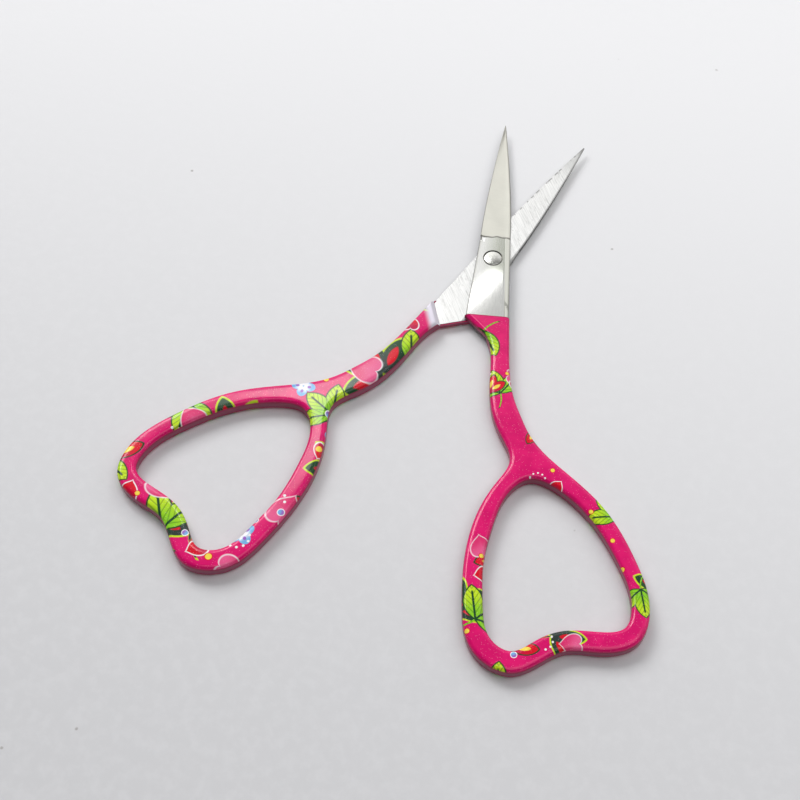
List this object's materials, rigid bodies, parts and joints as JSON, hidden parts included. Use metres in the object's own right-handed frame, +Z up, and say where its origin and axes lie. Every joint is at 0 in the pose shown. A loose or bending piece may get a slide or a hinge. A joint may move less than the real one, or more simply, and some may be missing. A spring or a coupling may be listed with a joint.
{
  "type": "embroidery scissors",
  "caption": "Small straight-bladed embroidery scissors with heart-shaped finger bows in a printed lacquer coat, two ground steel halves crossing at a rivet.",
  "frame": {"origin": "centre of the rivet's flat tail, on the pivot's axis and on the surface that the scissors lie on", "axes": "+Z up along the pivot's axis, +Y halves the open angle and points to the blades' tips, +X to the front (upper) half's bow"},
  "size_m": [0.081, 0.097, 0.0025],
  "materials": {
    "bare_steel": "satin hollow-ground outer blade faces, polished joint, inner faces with coarse slanting grinding lines",
    "rivet_steel": "polished, slightly domed head",
    "printed_lacquer": null
  },
  "bodies": {
    "rear": {"rear_half": "bare_steel", "rear_handle_coat": "printed_lacquer", "pivot_rivet": "rivet_steel"},
    "front": {"front_half": "bare_steel", "front_handle_coat": "printed_lacquer"}
  },
  "joints": [
    {"name": "pivot", "type": "hinge", "parent": "rear", "child": "front", "pos_m": [0, 0, 0], "axis": [0, 0, 1], "range_deg": [-27.2, 110]}
  ]
}
